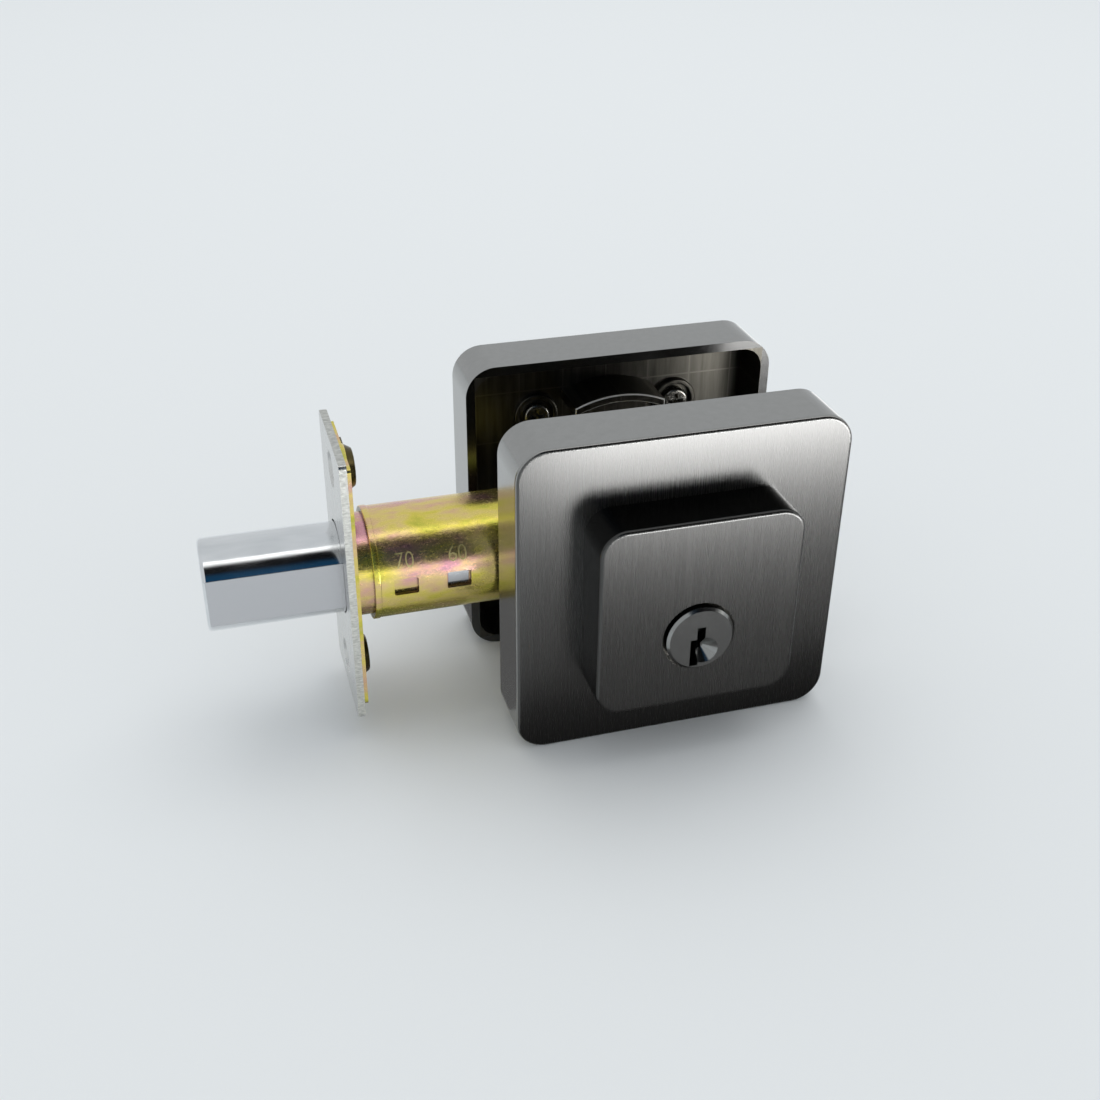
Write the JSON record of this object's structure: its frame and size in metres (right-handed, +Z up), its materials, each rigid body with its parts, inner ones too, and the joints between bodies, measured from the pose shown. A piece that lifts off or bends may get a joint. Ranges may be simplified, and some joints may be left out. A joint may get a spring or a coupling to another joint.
{
  "type": "deadbolt lock",
  "caption": "Square single-cylinder deadbolt with key side and thumb-turn side rosettes and a tubular latch whose bolt slides out of a faceplate.",
  "frame": {"origin": "where the axis of the door's cross bore meets the axis of the latch bore", "axes": "+Z up, +Y from the outside of the door to the room, the bolt throws towards -X"},
  "size_m": [0.1172, 0.0884, 0.0636],
  "materials": {
    "satin_graphite": "satin black-nickel, vertical brush",
    "dark_chrome": "polished gunmetal",
    "bright_chrome": "bright chrome",
    "silver_plate": "satin nickel",
    "yellow_zinc": "yellow iridescent zinc passivation",
    "brass": "machined brass",
    "steel": "plain zinc-plated steel"
  },
  "bodies": {
    "lock_frame": {"outside_rosette": "satin_graphite", "cylinder_housing": "satin_graphite", "cylinder_body": "brass", "chamber_cap": "brass", "driver_pins": "brass", "pin_springs": "steel", "clamp_plate": "steel", "housing_screws": "steel", "mounting_posts": "steel", "sleeve": "yellow_zinc", "hub_case": "yellow_zinc", "inside_rosette": "satin_graphite", "thumb_base": "satin_graphite", "base_screws": "dark_chrome", "spring_washer": "steel", "through_bolts": "steel"},
    "latch_front": {"faceplate": "silver_plate", "back_plate": "yellow_zinc", "inner_tube": "yellow_zinc", "backset_tab": "silver_plate"},
    "bolt": {"bolt": "bright_chrome", "anti_saw_roller": "steel", "link_pin": "steel"},
    "drawbar": {"drawbar": "steel", "drive_pin": "steel"},
    "crank": {"crank": "yellow_zinc"},
    "key_plug": {"key_plug": "dark_chrome", "key_pins": "brass", "plug_clip": "steel", "tailpiece": "steel"},
    "thumb_turn": {"thumb_turn": "satin_graphite", "turn_spindle": "steel", "grub_screw": "steel", "spindle_clip": "steel"}
  },
  "joints": [
    {"name": "thumb_turn", "type": "hinge", "parent": "lock_frame", "child": "thumb_turn", "pos_m": [0, 0, -0.0046], "axis": [0, 1, 0], "range_deg": [0, 90]},
    {"name": "key_turn", "type": "hinge", "parent": "lock_frame", "child": "key_plug", "pos_m": [0, 0, -0.0046], "axis": [0, 1, 0], "range_deg": [0, 90]},
    {"name": "crank_turn", "type": "hinge", "parent": "lock_frame", "child": "crank", "pos_m": [0, 0, -0.0046], "axis": [0, 1, 0], "range_deg": [0, 90]},
    {"name": "drawbar_slide", "type": "slide", "parent": "lock_frame", "child": "drawbar", "axis": [1, 0, 0], "range_m": [0, 0.0254]},
    {"name": "backset_adjust", "type": "slide", "parent": "lock_frame", "child": "latch_front", "axis": [-1, 0, 0], "range_m": [0, 0.01]},
    {"name": "bolt_slide", "type": "slide", "parent": "latch_front", "child": "bolt", "axis": [1, 0, 0], "range_m": [0, 0.0254]}
  ],
  "couplings": [
    {"joint": "key_turn", "follows": "thumb_turn", "ratio": 1},
    {"joint": "crank_turn", "follows": "thumb_turn", "ratio": 1},
    {"joint": "drawbar_slide", "follows": "thumb_turn", "m_per_rad": 0.01617},
    {"joint": "bolt_slide", "follows": "thumb_turn", "m_per_rad": 0.01617}
  ]
}
